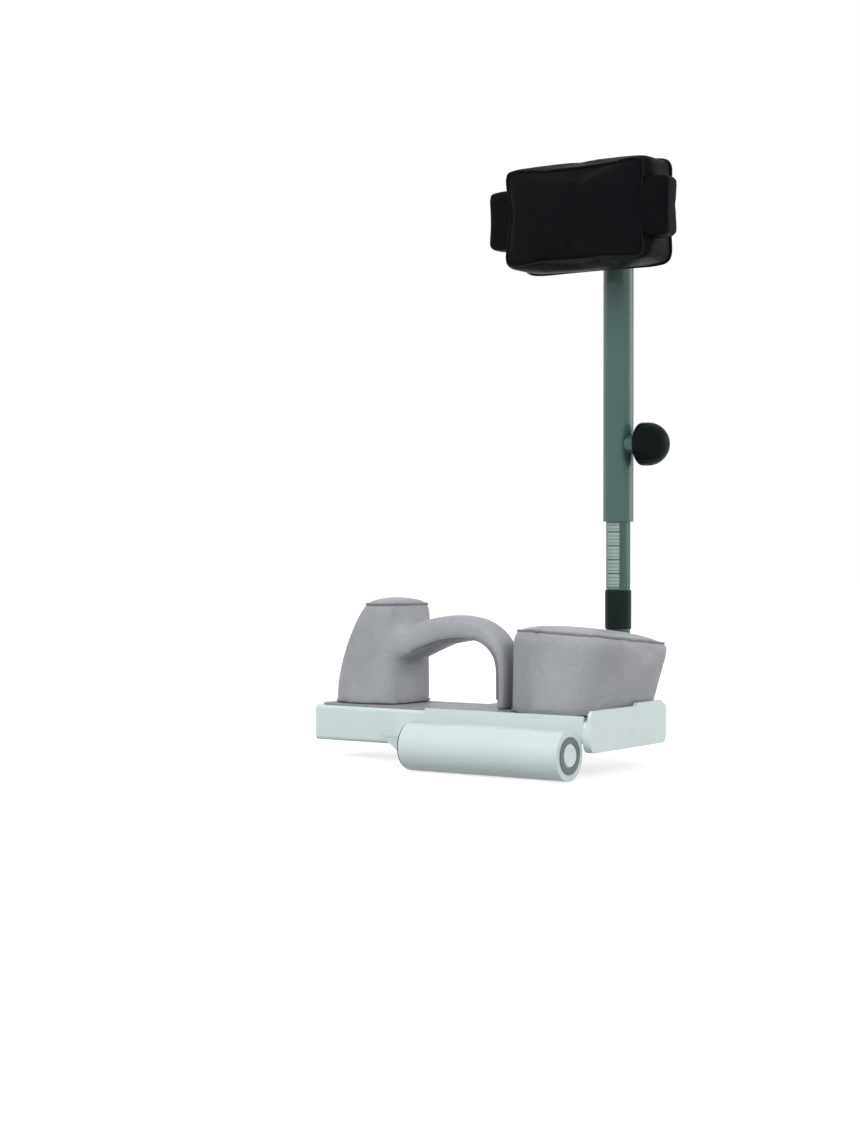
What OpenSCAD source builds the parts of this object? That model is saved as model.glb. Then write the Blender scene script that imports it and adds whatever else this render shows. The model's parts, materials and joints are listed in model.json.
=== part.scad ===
// Head-end cushion unit: a tray on a rail carries a cushion with an open face window,
// and a telescopic post behind it carries a tilting head pad.
// Millimetres. X runs along the rail to the tray's free end, Y runs away from the front, Z is up.
// The origin is the middle of the rail's bolted end face.

/* [Rail] */
// Length of the rail, from its bolted end to the tray
rail_l = 228; // [220:1:236]
// Width of the rail
rail_w = 120; // [114:1:122]
// Height of the rail
rail_h = 52; // [50:1:54]
// Wall of the rail and of the folded tray
sheet_t = 3; // [2:0.5:3]
// Thickness of the bolted end plate
plate_t = 8; // [6:1:12]
// Bolt spacing across the end plate
bolt_gap_y = 80; // [70:1:90]
// Bolt spacing up the end plate
bolt_gap_z = 26; // [22:1:28]
// Diameter of the bolt holes
bolt_hole_d = 11; // [9:0.5:12]

/* [Tray] */
// Length of the tray
tray_l = 270; // [264:1:280]
// Width of the tray
tray_w = 210; // [206:1:216]
// Depth of the tray's side skirts
skirt_h = 30; // [28:1:30]
// Thickness of the moulded end cap
cap_t = 12; // [10:1:14]
// Height of the end cap
cap_h = 45; // [42:1:48]
// How far the end cap stands above the tray
cap_rise = 2.5; // [1:0.5:2.5]
// How far the cap's lip stands above the tray
lip_front = 14; // [10:1:14]
// How far the lip stands above the tray on the cap's rear half
lip_rise = 18; // [15:1:18]
// How far the tray's front rim stands above it
rim_h = 7; // [5:1:8]

/* [Support tube] */
// Outside diameter of the support tube
tube_od = 68; // [66:1:68]
// Wall of the support tube
tube_t = 4; // [3:0.5:5]
// Length of the tube
tube_l = 251; // [244:1:251]
// How far the tube's axis lies in front of the middle
tube_front = 137; // [137:0.5:140]
// How far the tube's axis lies below the tray's top
tube_drop = 43; // [43:0.5:46]
// Diameter of the dark bush in the tube's closed end
ring_d = 50; // [46:1:52]
// Diameter of the plug in that bush
plug_d = 33; // [28:1:36]
// Bore of the bush that takes the support rod
rod_bore = 30.4; // [24:0.1:32]

/* [Cushion] */
// Thickness of the wrapped panel between the cushions
panel_t = 3; // [2:0.5:4]
// Thickness of the plywood base in each cushion
base_t = 12; // [10:1:14]
// Thickness of the sewn covers
cover_t = 2; // [1.5:0.1:2.5]
// Where the bolster starts, from the rail's bolted end
bolster_x = 11; // [8:1:14]
// Length of the bolster's foot
bolster_l = 125; // [122:1:127]
// Width of the bolster
bolster_w = 110; // [100:1:112]
// Height of the bolster above the panel
bolster_h = 153; // [144:1:156]
// How far the bolster's back slopes in
bolster_lean = 60; // [50:1:64]
// Fullness of the cushions' front corners, from round to square
front_round = 3; // [2.6:0.1:4]
// Where the lobe's nose starts, from the rail's bolted end
lobe_x = 314; // [312:1:318]
// Length of the lobe's foot
lobe_l = 175; // [170:1:176]
// Width of the lobe
lobe_w = 200; // [194:1:202]
// Height of the lobe above the panel, at its nose
lobe_h = 127; // [118:1:130]
// How much lower the lobe is at its free end
lobe_fall = 8; // [4:1:14]
// How much lower the lobe is at its rear
lobe_tilt = 18; // [10:1:20]
// How far the lobe's free end overhangs its foot
lobe_lean = 32; // [24:1:32]

/* [Arch] */
// Height of the arch's root above the panel
arch_root = 88; // [85:1:91]
// Height of the arch's crest above the panel
arch_crest = 111; // [108:1:114]
// Distance from the bolster to the crest
arch_ramp = 95; // [92:1:98]
// Distance from the crest to the arch's leg
arch_reach = 70; // [64:1:70]
// Thickness of the roll at its root
arch_thick = 54; // [50:1:56]
// Thickness of the roll at its leg
arch_thin = 20; // [18:1:20]
// Depth of the roll where it flares into the bolster, front to back
arch_deep = 88; // [80:1:92]
// Depth of the roll at its leg, front to back
arch_slim = 52; // [44:1:54]
// Diameter of the bent hoop inside the roll
hoop_d = 10; // [8:1:12]

/* [Post] */
// Where the post stands along the tray
post_x = 406; // [400:1:412]
// How far the post stands behind the middle
post_y = 130; // [130:1:134]
// Diameter of the fixed inner post
inner_od = 35; // [33:1:35]
// Height of the inner post's top
inner_top = 590; // [582:1:596]
// Diameter of the sliding outer tube
outer_od = 44; // [43:1:44]
// Height of the outer tube's lower end, as photographed
outer_foot = 296; // [292:1:300]
// Length of the outer tube
outer_l = 468; // [460:1:474]
// Wall of both post tubes
post_t = 2.5; // [2:0.5:2.5]
// Height of the stop sleeve's top
stop_top = 197; // [190:1:197]
// Length of the stop sleeve
stop_l = 56; // [40:1:60]

/* [Lock knob] */
// Height of the lock knob
knob_z = 407; // [402:1:412]
// Diameter of the knob
knob_d = 62; // [56:1:66]
// Depth of the knob
knob_l = 42; // [38:1:44]
// Diameter of the knob's threaded stud
stud_d = 10; // [8:1:10]

/* [Head pad] */
// Length of the pad
pad_l = 246; // [238:1:250]
// Height of the pad
pad_h = 152; // [146:1:154]
// Depth of the pad
pad_d = 84; // [80:1:88]
// Length of the firm core whose ends stand out as ears
core_l = 302; // [294:1:310]
// Height of the core
core_h = 92; // [86:1:96]
// Depth of the core
core_d = 36; // [32:1:38]
// Distance from the post's axis to the tilt pivot
pivot_gap = 36; // [36:0.5:38]
// Height of the tilt pivot
pivot_z = 726; // [720:1:730]

/* [Hidden] */
$fn = 64;

// Places along the rail and tray
deck_z = rail_h / 2;
end_x = rail_l + tray_l;
cap_x = end_x - cap_t;
skirt_z = deck_z - skirt_h;
floor_z = deck_z - sheet_t;
seat_z = deck_z + panel_t;
fold_r = 6;
lip_thick = 5;
lip_w = tray_w / 2 - 24;
lip_y = 16 + lip_w / 2;

// Support tube, under the tray's skirt
tube_x = rail_l + 1;
tube_y = -tube_front;
tube_z = deck_z - tube_drop;
tube_end = tube_x + tube_l;
tube_bore = tube_od - 2 * tube_t;
bush_gap = 0.1;
bush_l = 42;
lip_t = 2;
flange_t = 4;
saddle_l = 14;
gusset_low = tube_z - tube_od / 2 + 4;
gusset_high = skirt_z - 5;

// Cushion bolts as [along, across] places, the first through the rail and the rest through the tray
bolt_places = [
    [bolster_x + bolster_l / 2, 0],
    for (x = [lobe_x + 84, lobe_x + 120], y = [-45, 72]) [x, y]
];
bolt_r = 2.95;
tee_r = 4;
panel_margin = 7;
base_margin = 8;
spine_w = 50;
spine_y = 35;

// Shape of the stuffed forms
pinch = 0.03;
crown = 6;
plan_power = 12;
foot_power = 18;
top_power = 9;
fine = 10;
coarse = 7;
foam_gap = 0.4;
open_foot = 0.6;
lobe_nose = 0.9;

// Arch path
bolster_end = bolster_x + bolster_l;
arch_gap = 0.3;
arch_x = bolster_end + arch_gap;
crest_x = arch_x + arch_ramp;
leg_x = crest_x + arch_reach;
root_z = seat_z + arch_root;
crest_z = seat_z + arch_crest;
shoulder_z = crest_z - 56;
arch_steps = 8;
shoulder_power = 2.2;
band_power = 3.5;
arch_flare = [1.6, 3];
hoop_gap = 0.4;

// Post and its slide
inner_r = inner_od / 2;
outer_r = outer_od / 2;
outer_bore = outer_r - post_t;
run_gap = 0.05;
strip_t = 0.4;
strip_w = 20;
glide_l = 34;
upper_glide_z = outer_foot + 155;
bracket_w = 70;
bracket_z = deck_z + 10;
bracket_back = post_y + inner_r + 14;
bracket_bolt_gap = 26;

// Lock knob, measured outwards from the post's axis
shoe_r = 5.9;
shoe_in = inner_r + 0.3;
shoe_out = inner_r + 7;
boss_r = 14;
boss_out = outer_r + 23;
thread_in = shoe_out + 3.5;
grip_in = outer_r + 16;
grip_cup = boss_out + 0.6;
rim_r = 3;

// Head pad, in front of the pivot
pivot_y = post_y - pivot_gap;
plate_back = pivot_y - 14;
board_back = plate_back - 4;
pad_board_t = 10;
foam_back = board_back - pad_board_t;
core_depth = pad_d - 10 - core_d / 2;
ear_in = 15;
ear_t = 5;
lug_r = 10;
pin_r = 4;
washer_t = 1.8;
lug_half = ear_in - washer_t - 0.1;
plate_w = 56;
plate_h = 48;
screw_x = 20;
screw_z = 16;

// Flat outline with true round corners
module rounded_rect(w, h, r) {
    square([w - 2 * r, h], center = true);
    square([w, h - 2 * r], center = true);
    for (sx = [-1, 1], sy = [-1, 1])
        translate([sx * (w / 2 - r), sy * (h / 2 - r)]) circle(r);
}

// Extrudes a cross-section, drawn in Y and Z, along X
module along_x(x, l) {
    translate([x, 0, 0]) rotate([90, 0, 90]) linear_extrude(l) children();
}

// Round bar along X, from one distance to another
module bar_x(x0, x1, r) {
    translate([x0, 0, 0]) rotate([0, 90, 0]) cylinder(h = x1 - x0, r = r);
}

// Round bar along Y, from one distance to another
module bar_y(y0, y1, r) {
    translate([0, y0, 0]) rotate([-90, 0, 0]) cylinder(h = y1 - y0, r = r);
}

// Upright ring
module ring_z(z, h, r_out, r_in) {
    translate([0, 0, z]) difference() {
        cylinder(h = h, r = r_out);
        translate([0, 0, -1]) cylinder(h = h + 2, r = r_in);
    }
}

// Six-sided nut or bolt head along Z
module hex_z(z, h, r) {
    translate([0, 0, z]) cylinder(h = h, r = r, $fn = 6);
}

module at_post() {
    translate([post_x, post_y, 0]) children();
}

module at_knob() {
    translate([post_x, post_y, knob_z]) children();
}

module at_pivot() {
    translate([post_x, pivot_y, pivot_z]) children();
}

module at_plate_screws() {
    for (sx = [-1, 1], sz = [-1, 1])
        translate([post_x + sx * screw_x, 0, pivot_z + sz * screw_z]) children();
}

module at_bolts() {
    for (p = bolt_places)
        translate([p[0], p[1], 0]) children();
}

module at_tube() {
    translate([0, tube_y, tube_z]) children();
}

function power_norm(a, b, p) = pow(pow(abs(a), p) + pow(abs(b), p), 1 / p);

// Walk round a square, drawn onto a rounded square, as unit points.
// The front corners take their own fullness.
function plan_walk(n, front) = [
    for (side = [0:3], i = [0:n - 1])
        let (
            u = 2 * i / n - 1,
            d = side == 0 ? [1, u] : side == 1 ? [-u, 1] : side == 2 ? [-1, -u] : [u, -1]
        )
            d / power_norm(d[0], d[1], d[1] < 0 ? front : plan_power)
];

// Rings from foot to top, each as [share of the plan, height from -1 to 1]
function ring_steps() =
    let (
        walk = concat(
            [[0.5, -1], [1, -1]],
            [for (h = [-0.6:0.4:0.6]) [1, h]],
            [for (r = [1:-0.25:0.25]) [r, 1]]
        )
    )
        [for (e = walk) e / power_norm(e[0], e[1], e[1] < 0 ? foot_power : top_power)];

// Points and faces of a stuffed form with a crown, drawn-in sides, sloping ends and a falling top.
// The inset shrinks it all round for a lining, and foot lets it reach below its seat.
function stuffed(
    x0, x1, half_w, z0, z1, back = 0, over = 0, fall = 0, tilt = 0, nose = 0, front = plan_power,
    inset = 0, foot = 0, n = fine
) =
    let (
        plan = plan_walk(n, front),
        steps = ring_steps(),
        per = len(plan),
        rings = len(steps),
        place = function (d, r, h)
            let (
                t = (h + 1) / 2,
                left = x0 + inset + back * t * t,
                right = x1 - inset + over * t,
                blunt = d[0] < 0 ? 1 - nose * d[1] * d[1] : 1,
                reach = (right - left) / 2 * blunt * (1 - pinch * (1 - d[1] * d[1])),
                x = (left + right) / 2 + reach * d[0] * r,
                y = (half_w - inset) * d[1] * r * (1 - pinch * (1 - d[0] * d[0])),
                swell = crown * max(h, 0) * (1 - pow(r * d[0], 2)) * (1 - pow(r * d[1], 2)),
                top = z1 - inset - fall * (x - x0) / (x1 - x0) - tilt * (d[1] * r + 1) / 2
            )
                [x, y, z0 - foot + t * (top - z0 + foot) + swell],
        points = concat(
            [for (s = steps, d = plan) place(d, s[0], s[1])],
            [place([0, 0], 0, -1), place([0, 0], 0, 1)]
        ),
        walls = [
            for (i = [0:rings - 2], k = [0:per - 1])
                let (a = i * per + k, b = i * per + (k + 1) % per)
                    each [[a, a + per, b + per], [a, b + per, b]]
        ],
        foot_cap = [for (k = [0:per - 1]) [rings * per, k, (k + 1) % per]],
        last = (rings - 1) * per,
        top_cap = [for (k = [0:per - 1]) [rings * per + 1, last + (k + 1) % per, last + k]]
    )
        [points, concat(walls, foot_cap, top_cap)];

module solid(form) {
    polyhedron(form[0], form[1]);
}

// Centre line of the arch, as [along, up], from the bolster over the crest and down the leg
arch_path = concat(
    [for (i = [0:arch_steps]) [arch_x + arch_ramp * i / arch_steps,
        root_z + (crest_z - root_z) * sin(90 * i / arch_steps)]],
    [for (i = [1:arch_steps])
        let (s = sin(90 * i / arch_steps), c = cos(90 * i / arch_steps), k = power_norm(s, c, shoulder_power))
            [crest_x + arch_reach * s / k, shoulder_z + (crest_z - shoulder_z) * c / k]],
    [[leg_x, (shoulder_z + seat_z) / 2], [leg_x, seat_z]]
);

// Tube of rounded rings swept along a path in the XZ plane; half is [across the path, along Y] at each end.
// A larger flare keeps that direction's widening nearer to the start.
function swept(path, half0, half1, sides, power = 2, flare = [1, 1]) =
    let (
        count = len(path),
        points = [
            for (i = [0:count - 1])
                let (
                    ahead = path[min(i + 1, count - 1)] - path[max(i - 1, 0)],
                    along = i == 0 ? [1, 0] : i == count - 1 ? [0, -1] : ahead / norm(ahead),
                    left = 1 - i / (count - 1),
                    half = [for (k = [0, 1]) half1[k] + (half0[k] - half1[k]) * pow(left, flare[k])]
                )
                    for (k = [0:sides - 1])
                        let (
                            c = cos(360 * k / sides),
                            s = sin(360 * k / sides),
                            spoke = [c * half[0], s * half[1]] / power_norm(c, s, power)
                        )
                            [path[i][0] - along[1] * spoke[0], spoke[1], path[i][1] + along[0] * spoke[0]]
        ],
        walls = [
            for (i = [0:count - 2], k = [0:sides - 1])
                let (a = i * sides + k, b = i * sides + (k + 1) % sides)
                    each [[a, b, b + sides], [a, b + sides, a + sides]]
        ],
        mouth = [for (k = [1:sides - 2]) [0, k + 1, k]],
        last = (count - 1) * sides,
        tail = [for (k = [1:sides - 2]) [last, last + k, last + k + 1]]
    )
        [points, concat(walls, mouth, tail)];

// Hoop path: the arch with its root let into the bolster
hoop_path = concat([[arch_x - 26, root_z]], arch_path);

module end_plate() color("#cfdedd") difference() {
    along_x(0, plate_t) rounded_rect(rail_w, rail_h, fold_r);
    for (sy = [-1, 1], sz = [-1, 1])
        translate([0, sy * bolt_gap_y / 2, sz * bolt_gap_z / 2]) bar_x(-1, plate_t + 1, bolt_hole_d / 2);
}

module rail_beam() color("#cfdedd") difference() {
    along_x(plate_t, rail_l - plate_t) difference() {
        rounded_rect(rail_w, rail_h, fold_r);
        rounded_rect(rail_w - 2 * sheet_t, rail_h - 2 * sheet_t, fold_r - sheet_t);
    }
    at_bolts() cylinder(h = rail_h, r = bolt_r + 0.4);
    translate([bolt_places[0][0], 0, -rail_h]) cylinder(h = rail_h, r = 10);
}

module tray_pan() color("#d6e4e3") difference() {
    union() {
        along_x(rail_l, cap_x - rail_l) intersection() {
            translate([0, deck_z - skirt_h]) difference() {
                rounded_rect(tray_w, 2 * skirt_h, fold_r);
                rounded_rect(tray_w - 2 * sheet_t, 2 * skirt_h - 2 * sheet_t, fold_r - sheet_t);
            }
            translate([-tray_w, skirt_z]) square([2 * tray_w, skirt_h]);
        }
        translate([rail_l, -tray_w / 2 + 1, skirt_z]) cube([sheet_t, tray_w - 2, skirt_h - 1]);
        translate([rail_l, -tray_w / 2, deck_z - fold_r]) cube([cap_x - rail_l, sheet_t, fold_r + rim_h]);
    }
    at_bolts() cylinder(h = rail_h, r = bolt_r + 0.4);
    for (sx = [-1, 1])
        translate([post_x + sx * bracket_bolt_gap, 0, floor_z - 14]) bar_y(0, tray_w, bolt_r + 0.3);
}

module tray_spine() color("#c3d2d1") along_x(rail_l + sheet_t, cap_x - rail_l - sheet_t)
    translate([spine_y, floor_z - 18]) difference() {
        rounded_rect(spine_w, 36, 4);
        rounded_rect(spine_w - 2 * sheet_t, 36 - 2 * sheet_t, 4 - sheet_t / 2);
    }

module tray_end_cap() color("#d9e6e5") {
    low = deck_z + cap_rise - cap_h;
    tongue_y = tray_w / 2 - sheet_t - 0.5;
    difference() {
        along_x(cap_x, cap_t) translate([0, low + cap_h / 2]) rounded_rect(tray_w, cap_h, 12);
        translate([cap_x - 1, -tray_w / 2 + 5, low + 5]) cube([cap_t - 3, tray_w - 10, floor_z - low - 6]);
    }
    along_x(end_x - lip_thick, lip_thick) {
        translate([0, deck_z]) rounded_rect(tray_w, 2 * lip_front, 8);
        translate([lip_y, deck_z]) rounded_rect(lip_w, 2 * lip_rise, 8);
    }
    for (s = [0, 1])
        mirror([0, s, 0]) translate([cap_x - 20, tongue_y - 6, skirt_z + 4]) cube([26, 6, skirt_h - 14]);
}

module support_tube() color("#d6e4e3") at_tube() difference() {
    bar_x(tube_x, tube_end, tube_od / 2);
    bar_x(tube_x - 1, tube_end + 1, tube_bore / 2);
}

// Blocks inside the skirt, with a foot that reaches under it to the tube
module tube_saddles() color("#c3d2d1") {
    inside = -tray_w / 2 + fold_r + 0.2;
    low = tube_z - 12;
    for (x = [rail_l + 50, cap_x - 70])
        difference() {
            union() {
                translate([x, inside, low]) cube([saddle_l, 36, floor_z - low]);
                translate([x, -tray_w / 2 - 12, low]) cube([saddle_l, 40, skirt_z - low - 0.3]);
            }
            at_tube() bar_x(x - 1, x + saddle_l + 1, tube_od / 2);
        }
}

// Web under the rail that steadies the tube's open end
module tube_gusset() color("#c9d8d7") difference() {
    translate([0, -rail_w / 2, 0]) rotate([90, 0, 0]) linear_extrude(44)
        polygon([
            [tube_x - 81, gusset_high],
            [tube_x + 21, gusset_high],
            [tube_x + 21, gusset_low],
            [tube_x - 21, gusset_low]
        ]);
    at_tube() bar_x(tube_x - 90, tube_x + 30, tube_od / 2);
}

// End fitting: a spigot in the tube and a flange that closes it
module tube_collar() color("#dbe7e6") at_tube() difference() {
    union() {
        bar_x(tube_end - 24, tube_end, tube_bore / 2 - bush_gap);
        bar_x(tube_end, tube_end + flange_t, tube_od / 2);
    }
    bar_x(tube_end - 25, tube_end + flange_t + 1, ring_d / 2 + bush_gap);
}

module collar_bush() color("#2b3033") at_tube() difference() {
    bar_x(tube_end - 24, tube_end + flange_t + lip_t - 0.5, ring_d / 2);
    bar_x(tube_end - 25, tube_end + flange_t + lip_t, plug_d / 2 + bush_gap);
}

module end_plug() color("#e4eeed") at_tube() {
    bar_x(tube_end - 20, tube_end + flange_t, plug_d / 2);
    translate([tube_end + flange_t, 0, 0]) rotate([0, 90, 0])
        cylinder(h = lip_t, r1 = plug_d / 2, r2 = plug_d / 2 - lip_t);
}

module inlet_bush() color("#2b3033") at_tube() difference() {
    union() {
        bar_x(tube_x - lip_t, tube_x, tube_od / 2 - 1);
        bar_x(tube_x, tube_x + bush_l - lip_t, tube_bore / 2 - bush_gap);
    }
    bar_x(tube_x - lip_t - 1, tube_x + bush_l, rod_bore / 2);
}

module deck_panel() color("#8f8f97") difference() {
    translate([0, 0, deck_z]) linear_extrude(panel_t) {
        neck = rail_l - bolster_x + 20;
        translate([bolster_x - 3 + neck / 2, 0]) rounded_rect(neck, rail_w - 6, 10);
        deck = tray_l - cap_t - 4;
        translate([rail_l + 2 + deck / 2, 0]) rounded_rect(deck, tray_w - 2 * panel_margin, 14);
    }
    at_bolts() translate([0, 0, deck_z - 1]) cylinder(h = panel_t + 2, r = bolt_r + 0.4);
}

// Plywood base of a cushion, with counterbored holes for the tee nuts
module cushion_base(x0, x1, w, r) {
    difference() {
        translate([(x0 + x1) / 2, 0, seat_z]) linear_extrude(base_t) rounded_rect(x1 - x0, w, r);
        at_bolts() translate([0, 0, seat_z - 1]) cylinder(h = base_t + 2, r = tee_r + 0.1);
        at_bolts() translate([0, 0, seat_z + base_t - 1.6]) cylinder(h = 3, r = 9.2);
    }
}

module bolster_base() color("#b08d5b")
    cushion_base(bolster_x + base_margin, bolster_end - base_margin, bolster_w - 2 * base_margin, 36);

module lobe_base() color("#b08d5b")
    cushion_base(lobe_x + 4.5 * base_margin, lobe_x + lobe_l - base_margin, lobe_w - 4 * base_margin, 60);

function bolster_form(inset = 0, foot = 0, n = fine) = stuffed(
    bolster_x, bolster_end, bolster_w / 2, seat_z, seat_z + bolster_h,
    back = bolster_lean, front = front_round, inset = inset, foot = foot, n = n
);

module hoop_hole() {
    translate([0, 0, root_z]) bar_x(arch_x - 28, arch_x + 10, hoop_d / 2 + hoop_gap);
}

// Everything above the plywood bases
module above_bases() {
    translate([0, -tray_w, seat_z + base_t]) cube([2 * end_x, 2 * tray_w, 2 * bolster_h]);
}

module bolster_foam() color("#d9cf9f") difference() {
    intersection() {
        solid(bolster_form(inset = cover_t + foam_gap, n = coarse));
        above_bases();
    }
    hoop_hole();
}

module bolster_cover() color("#96969d") difference() {
    solid(bolster_form());
    solid(bolster_form(inset = cover_t, foot = open_foot, n = coarse));
    hoop_hole();
}

module arch_hoop() color("#9aa0a3") solid(swept(hoop_path, [1, 1] * hoop_d / 2, [1, 1] * hoop_d / 2, 10));

module arch_roll() color("#96969d") difference() {
    root = [arch_thick, arch_deep] / 2;
    leg = [arch_thin, arch_slim] / 2;
    solid(swept(hoop_path, root, leg, 20, band_power, arch_flare));
    solid(bolster_form(inset = -arch_gap));
    solid(swept(hoop_path, [1, 1] * (hoop_d / 2 + hoop_gap), [1, 1] * (hoop_d / 2 + hoop_gap), 10));
}

function lobe_form(inset = 0, foot = 0, n = fine) = stuffed(
    lobe_x, lobe_x + lobe_l, lobe_w / 2, seat_z, seat_z + lobe_h,
    over = lobe_lean, fall = lobe_fall, tilt = lobe_tilt, nose = lobe_nose, front = front_round,
    inset = inset, foot = foot, n = n
);

module lobe_foam() color("#d9cf9f") intersection() {
    solid(lobe_form(inset = cover_t + foam_gap, n = coarse));
    above_bases();
}

module lobe_cover() color("#96969d") difference() {
    solid(lobe_form());
    solid(lobe_form(inset = cover_t, foot = open_foot, n = coarse));
}

module tee_nuts() color("#b9bfc2") at_bolts() {
    ring_z(seat_z + base_t - 1.5, 1.2, 9, bolt_r + 0.05);
    ring_z(seat_z + 2, base_t - 3.5, tee_r, bolt_r + 0.05);
}

module cushion_bolts() color("#b9bfc2") at_bolts() {
    hex_z(floor_z - 5.5, 4, 5.6);
    translate([0, 0, floor_z - 1.5]) cylinder(h = 1.5, r = 8);
    translate([0, 0, floor_z - 2]) cylinder(h = sheet_t + panel_t + base_t, r = bolt_r);
}

module post_bracket() color("#c3d2d1") difference() {
    translate([post_x - bracket_w / 2, tray_w / 2, skirt_z])
        cube([bracket_w, bracket_back - tray_w / 2, bracket_z - skirt_z]);
    at_post() translate([0, 0, skirt_z - 1]) cylinder(h = 100, r = inner_r + run_gap);
    at_post() translate([-1.5, 0, skirt_z - 1]) cube([3, 60, 100]);
    for (sx = [-1, 1])
        translate([post_x + sx * bracket_bolt_gap, 0, floor_z - 14])
            bar_y(tray_w / 2 - 1, tray_w / 2 + 20, bolt_r + 0.05);
    translate([post_x, bracket_back - 7, deck_z - 12]) bar_x(-40, 40, 4.2);
}

module bracket_bolts() color("#b9bfc2") for (sx = [-1, 1])
    translate([post_x + sx * bracket_bolt_gap, tray_w / 2 - sheet_t, floor_z - 14]) {
        rotate([90, 0, 0]) hex_z(0, 4, 5.6);
        bar_y(-1, 20, bolt_r);
    }

module pinch_screw() color("#b9bfc2") translate([post_x, bracket_back - 7, deck_z - 12]) {
    bar_x(-bracket_w / 2 - 6, bracket_w / 2 + 1, 4);
    bar_x(bracket_w / 2, bracket_w / 2 + 8, 6.5);
    rotate([0, -90, 0]) hex_z(bracket_w / 2, 6.5, 7.5);
}

// Recess in the inner post for the scale strip, on its front
module strip_recess(depth) {
    difference() {
        translate([-strip_w / 2, -inner_r - 1, stop_top + 2])
            cube([strip_w, inner_r, inner_top - stop_top - 12]);
        translate([0, 0, stop_top]) cylinder(h = inner_top, r = inner_r - depth);
    }
}

module inner_post() color("#8fa3a1") at_post() difference() {
    ring_z(skirt_z, inner_top - skirt_z, inner_r, inner_r - post_t);
    strip_recess(strip_t + run_gap);
}

module scale_strip() color("#e9f0ea") at_post() intersection() {
    strip_recess(strip_t);
    translate([0, 0, stop_top + 2.2]) cylinder(h = inner_top - stop_top - 12.4, r = inner_r);
}

module stop_sleeve() color("#23282a") at_post()
    ring_z(stop_top - stop_l, stop_l, inner_r + 1.6, inner_r + run_gap);

module glide_bush(z) {
    at_post() ring_z(z, glide_l, outer_bore - run_gap, inner_r + run_gap);
}

module lower_glide_bush() color("#2b3033") glide_bush(outer_foot + 1);

module upper_glide_bush() color("#2b3033") glide_bush(upper_glide_z);

module outer_tube() color("#7f9b9b") difference() {
    at_post() ring_z(outer_foot, outer_l, outer_r, outer_bore);
    at_knob() bar_x(0, outer_od, shoe_r + 0.1);
}

module tube_cap() color("#23282a") at_post() translate([0, 0, outer_foot + outer_l]) {
    rotate_extrude() {
        square([outer_r - 3, 5]);
        square([outer_r, 2]);
        translate([outer_r - 3, 2]) intersection() {
            circle(3);
            square(3);
        }
    }
    translate([0, 0, -12]) cylinder(h = 13, r = outer_bore - bush_gap);
}

module knob_boss() color("#7f9b9b") difference() {
    at_knob() bar_x(0, boss_out, boss_r);
    at_post() translate([0, 0, knob_z - 40]) cylinder(h = 80, r = outer_r);
    at_knob() bar_x(0, thread_in, shoe_r + 0.1);
    at_knob() bar_x(0, boss_out + 1, stud_d / 2 + run_gap);
}

module pivot_clevis() color("#7f9b9b") difference() {
    at_pivot() {
        translate([-ear_in - ear_t, lug_r + 0.8, -18]) cube([2 * (ear_in + ear_t), 16, 36]);
        for (s = [0, 1])
            mirror([s, 0, 0]) {
                translate([ear_in, 0, -lug_r]) cube([ear_t, lug_r + 2, 2 * lug_r]);
                bar_x(ear_in, ear_in + ear_t, lug_r);
            }
    }
    at_post() translate([0, 0, pivot_z - 40]) cylinder(h = 80, r = outer_r);
    at_pivot() bar_x(-30, 30, pin_r + run_gap);
}

module lock_shoe() color("#c9a24a") at_knob() difference() {
    bar_x(0, shoe_out, shoe_r);
    translate([0, 0, -20]) cylinder(h = 40, r = shoe_in);
}

module knob_stud() color("#b9bfc2") at_knob() bar_x(shoe_out + 0.1, grip_cup + 14, stud_d / 2);

// Domed grip, hollowed over the boss, with shallow finger flutes round its rim
module knob_grip() color("#17191b") at_knob() difference() {
    dome_r = knob_d / 2;
    dome_x = grip_in + knob_l - dome_r;
    rotate([0, 90, 0]) rotate_extrude() difference() {
        union() {
            translate([0, grip_in]) square([dome_r - rim_r, dome_x - grip_in]);
            translate([0, grip_in + rim_r]) square([dome_r, dome_x - grip_in - rim_r]);
            translate([dome_r - rim_r, grip_in + rim_r]) circle(rim_r);
            translate([0, dome_x]) circle(dome_r, $fn = 128);
        }
        translate([-2 * knob_d, 0]) square([2 * knob_d, 4 * knob_d]);
        translate([0, -knob_d]) square([knob_d, grip_in + knob_d]);
        square([boss_r + 0.6, grip_cup]);
        square([stud_d / 2 + 0.02, grip_cup + 14.05]);
    }
    for (i = [0:11])
        rotate([30 * i, 0, 0]) translate([0, 0, knob_d / 2 + 4.8]) bar_x(grip_in - 1, grip_in + knob_l, 6);
}

module hinge_plate() color("#6f7577") difference() {
    union() {
        translate([post_x, plate_back, pivot_z]) rotate([90, 0, 0]) linear_extrude(plate_back - board_back)
            rounded_rect(plate_w, plate_h, 6);
        at_pivot() {
            bar_x(-lug_half, lug_half, lug_r);
            translate([-lug_half, plate_back - pivot_y - 1, -lug_r])
                cube([2 * lug_half, pivot_y - plate_back + 1, 2 * lug_r]);
        }
    }
    at_pivot() bar_x(-30, 30, pin_r + 0.02);
    at_plate_screws() bar_y(board_back - 1, plate_back + 1, 2.2);
}

module pivot_pin() color("#b9bfc2") at_pivot() {
    bar_x(-ear_in - ear_t - 8, ear_in + ear_t + 1, pin_r);
    bar_x(ear_in + ear_t + 0.3, ear_in + ear_t + 5, 7);
}

module pivot_nut() color("#b9bfc2") at_pivot() difference() {
    rotate([0, -90, 0]) hex_z(ear_in + ear_t + 0.3, 6.5, 7.5);
    bar_x(-60, 0, pin_r + 0.02);
}

module friction_washers() color("#2b3033") at_pivot() for (s = [0, 1])
    mirror([s, 0, 0]) difference() {
        bar_x(lug_half + 0.05, lug_half + 0.05 + washer_t - 0.1, lug_r - 1);
        bar_x(0, 30, pin_r + 0.1);
    }

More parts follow.
